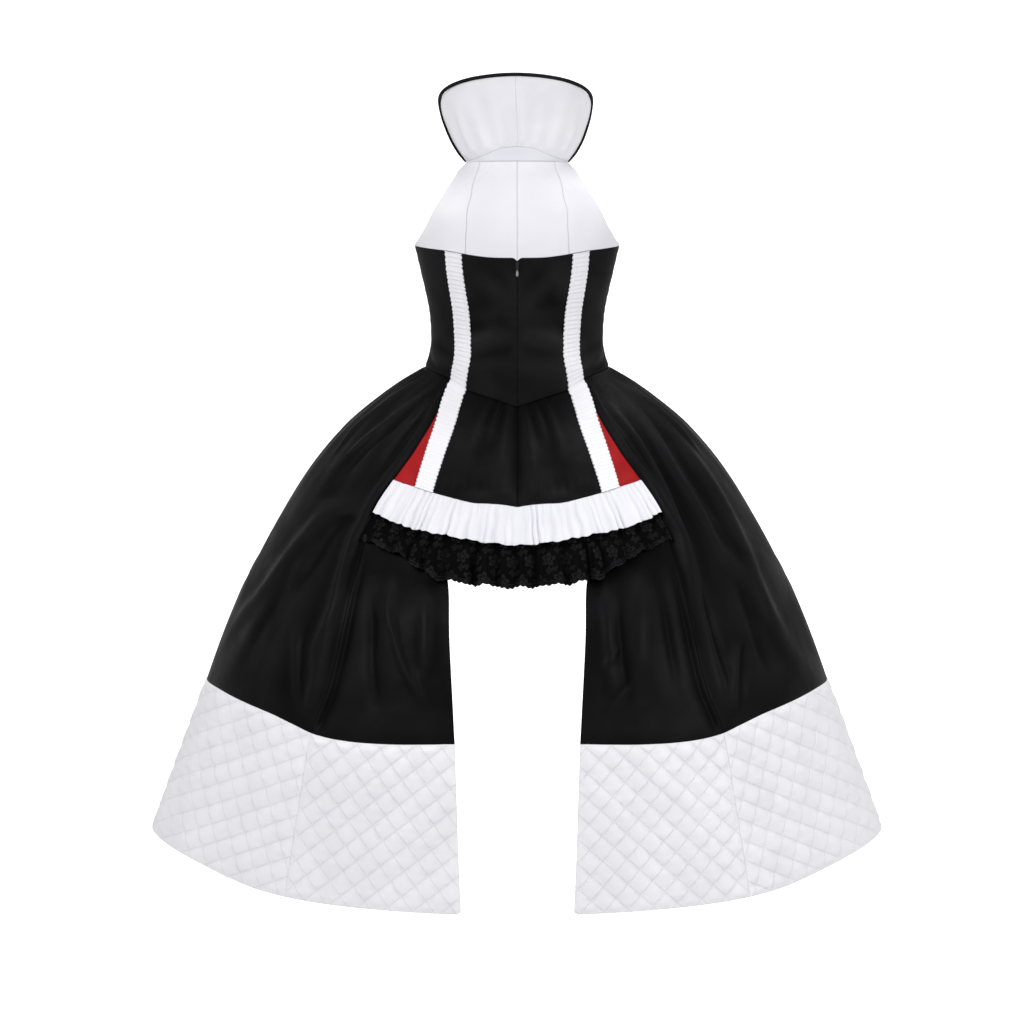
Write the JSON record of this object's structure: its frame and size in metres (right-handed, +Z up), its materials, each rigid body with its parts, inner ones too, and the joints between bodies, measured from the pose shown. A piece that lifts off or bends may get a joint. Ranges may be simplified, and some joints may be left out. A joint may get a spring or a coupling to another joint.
{
  "type": "playing card costume dress",
  "caption": "Halter stage dress with a fan collar, fitted black bodice, short gathered back skirt with flounces and long side skirts with quilted hems.",
  "frame": {"origin": "middle of the wearer's waist, at the level of the waist seam's sides", "axes": "+Z up the wearer, +Y out of the wearer's front so that the pictured back faces -Y, +X to the wearer's right"},
  "size_m": [1.216, 0.7715, 1.2599],
  "materials": {
    "white_satin": "white matte satin, faintly cool",
    "black_satin": "black matte satin with a soft sheen",
    "red_satin": "deep red matte satin",
    "black_lace": "black floral lace",
    "zip_black": "black woven zip tape",
    "zip_metal": "small dark silver zip slider and pull tab"
  },
  "bodies": {
    "dress": {"back_gore_left": "black_satin", "back_gore_right": "black_satin", "back_skirt_left": "black_satin", "back_skirt_right": "black_satin", "bodice_back_left": "black_satin", "bodice_back_right": "black_satin", "bodice_front": "black_satin", "bodice_side_back_left": "black_satin", "bodice_side_back_right": "black_satin", "bodice_side_front_left": "black_satin", "bodice_side_front_right": "black_satin", "collar_binding": "black_satin", "collar_left": "white_satin", "collar_right": "white_satin", "flounce": "white_satin", "front_skirt": "black_satin", "gusset_left": "red_satin", "gusset_right": "red_satin", "lace_flounce": "black_lace", "neckband": "white_satin", "quilt_back_left": "white_satin", "quilt_back_right": "white_satin", "quilt_side_left": "white_satin", "quilt_side_right": "white_satin", "side_gore_left": "black_satin", "side_gore_right": "black_satin", "trim_left": "white_satin", "trim_right": "white_satin", "yoke_back_left": "white_satin", "yoke_back_right": "white_satin", "yoke_front": "white_satin", "yoke_side_left": "white_satin", "yoke_side_right": "white_satin", "zip_slider": "zip_metal", "zip_tape": "zip_black"},
    "zip_pull": {"zip_pull": "zip_metal"}
  },
  "joints": [
    {"name": "zip_pull_hinge", "type": "hinge", "parent": "dress", "child": "zip_pull", "pos_m": [0, -0.11034, 0.1826], "axis": [-1, 0, 0], "range_deg": [0, 160]}
  ]
}
